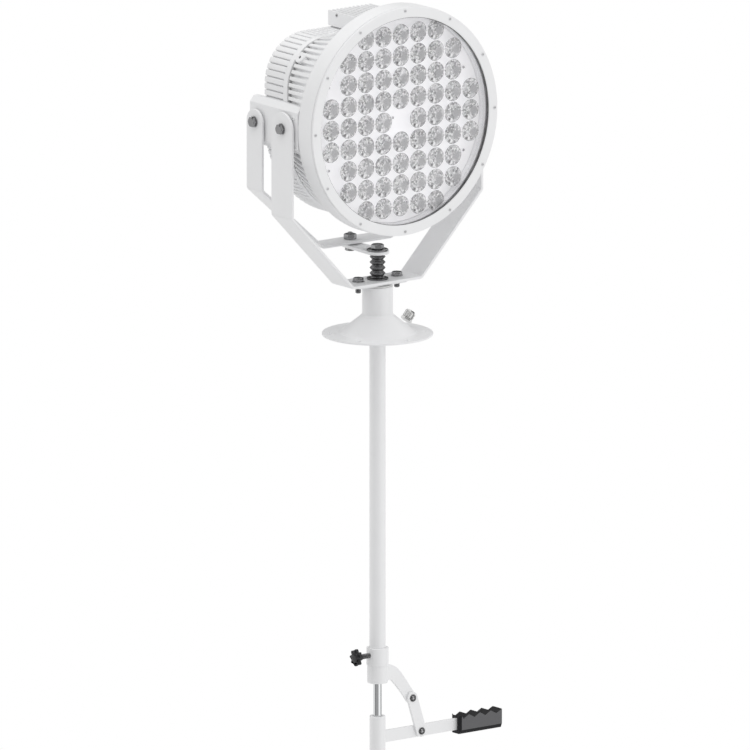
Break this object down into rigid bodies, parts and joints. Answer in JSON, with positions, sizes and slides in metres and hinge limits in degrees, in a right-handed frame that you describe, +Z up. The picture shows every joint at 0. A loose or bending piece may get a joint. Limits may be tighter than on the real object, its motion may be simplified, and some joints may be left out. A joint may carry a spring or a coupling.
{
  "type": "remote-control searchlight",
  "caption": "Round multi-lens LED searchlight on a yoke, panned and tilted through a roof by a push rod, a lever and a hand grip.",
  "frame": {"origin": "a point on the underside of the deck flange, 60 mm in front of the pan axis, in the plane of symmetry", "axes": "+Z up, the lamp looks along -Y, +X is the side that the hand grip is on"},
  "size_m": [0.5703, 0.235, 1.618],
  "materials": {
    "white_cast": "white powder coat on aluminium",
    "white_steel": "white powder coat on steel",
    "black_steel": "black oxide",
    "bright_steel": "bright",
    "nickel": "nickel plated",
    "chrome_rod": "polished",
    "black_rubber": "moulded",
    "grip_rubber": "moulded, fine texture",
    "black_plastic": "moulded",
    "nylon": "natural nylon",
    "optic": "clear moulded optics over a white carrier",
    "board": "white solder mask",
    "window_glass": "clear toughened",
    "potted_driver": "plain"
  },
  "bodies": {
    "pedestal": {"pedestal": "white_cast", "lower_bush": "nylon", "upper_bush": "nylon", "thrust_washer": "nylon", "gland_body": "nickel", "gland_nut": "nickel"},
    "mast": {"outer_tube": "white_steel", "head_flange": "white_steel", "front_yoke": "white_steel", "base_bolt_left": "black_steel", "base_bolt_right": "black_steel", "bellows": "black_rubber", "rod_bush_top": "nylon", "rod_bush_bottom": "nylon", "clamp_collar": "white_steel", "bracket_arm": "white_steel", "upper_link_pin": "bright_steel"},
    "clamp": {"clamp_knob": "black_plastic"},
    "rod": {"push_rod": "chrome_rod", "link_plate": "white_steel", "rod_washer": "black_steel", "rod_cap_nut": "black_steel", "link_bolt": "black_steel", "glide_washer": "nylon", "link_nut": "black_steel", "handle_tube": "white_steel", "end_cap": "black_plastic"},
    "link": {"link_bar": "white_steel"},
    "lever": {"lever_bar": "white_steel", "grip": "grip_rubber", "lower_link_pin": "bright_steel"},
    "tilt_yoke": {"rear_yoke": "white_steel", "rear_pivot_bolt_right": "black_steel", "rear_pivot_bolt_left": "black_steel"},
    "lamp": {"bezel_ring": "white_cast", "bezel_screw_01": "bright_steel", "bezel_screw_02": "bright_steel", "bezel_screw_03": "bright_steel", "bezel_screw_04": "bright_steel", "bezel_screw_05": "bright_steel", "bezel_screw_06": "bright_steel", "bezel_screw_07": "bright_steel", "bezel_screw_08": "bright_steel", "bezel_screw_09": "bright_steel", "bezel_screw_10": "bright_steel", "bezel_screw_11": "bright_steel", "bezel_screw_12": "bright_steel", "glass_gasket": "black_rubber", "front_glass": "window_glass", "lens_array": "optic", "led_board": "board", "front_housing": "white_cast", "rear_housing": "white_cast", "rear_cover": "white_cast", "top_heat_sink": "white_cast", "driver_module": "potted_driver", "side_bracket_right": "white_cast", "side_bracket_left": "white_cast", "front_pivot_bolt_right": "black_steel", "front_pivot_bolt_left": "black_steel"}
  },
  "joints": [
    {"name": "pan", "type": "hinge", "parent": "pedestal", "child": "mast", "pos_m": [0, 0.06, 0.1], "axis": [0, 0, 1], "range_deg": [-180, 180]},
    {"name": "tilt", "type": "hinge", "parent": "mast", "child": "lamp", "pos_m": [0, 0.06, 0.463], "axis": [1, 0, 0], "range_deg": [-20, 12]},
    {"name": "rod_slide", "type": "slide", "parent": "mast", "child": "rod", "axis": [0, 0, 1], "range_m": [-0.0322, 0.0194], "deforming": ["bellows"]},
    {"name": "rear_yoke_pivot", "type": "hinge", "parent": "lamp", "child": "tilt_yoke", "pos_m": [0, 0.153, 0.463], "axis": [1, 0, 0], "range_deg": [-12.1, 20.1]},
    {"name": "link_swing", "type": "hinge", "parent": "mast", "child": "link", "pos_m": [0.085, 0.06, -0.779], "axis": [0, 1, 0], "range_deg": [0, 4]},
    {"name": "lever_pivot", "type": "hinge", "parent": "link", "child": "lever", "pos_m": [0.108, 0.06, -0.852], "axis": [0, 1, 0], "range_deg": [-17, 10.3]},
    {"name": "clamp_turn", "type": "hinge", "parent": "mast", "child": "clamp", "pos_m": [-0.055, 0.06, -0.676], "axis": [-1, 0, 0], "range_deg": [0, 180]}
  ],
  "couplings": [
    {"joint": "rod_slide", "follows": "tilt", "m_per_rad": 0.09114},
    {"joint": "rear_yoke_pivot", "follows": "tilt", "ratio": -1},
    {"joint": "lever_pivot", "follows": "tilt", "ratio": 0.845}
  ]
}
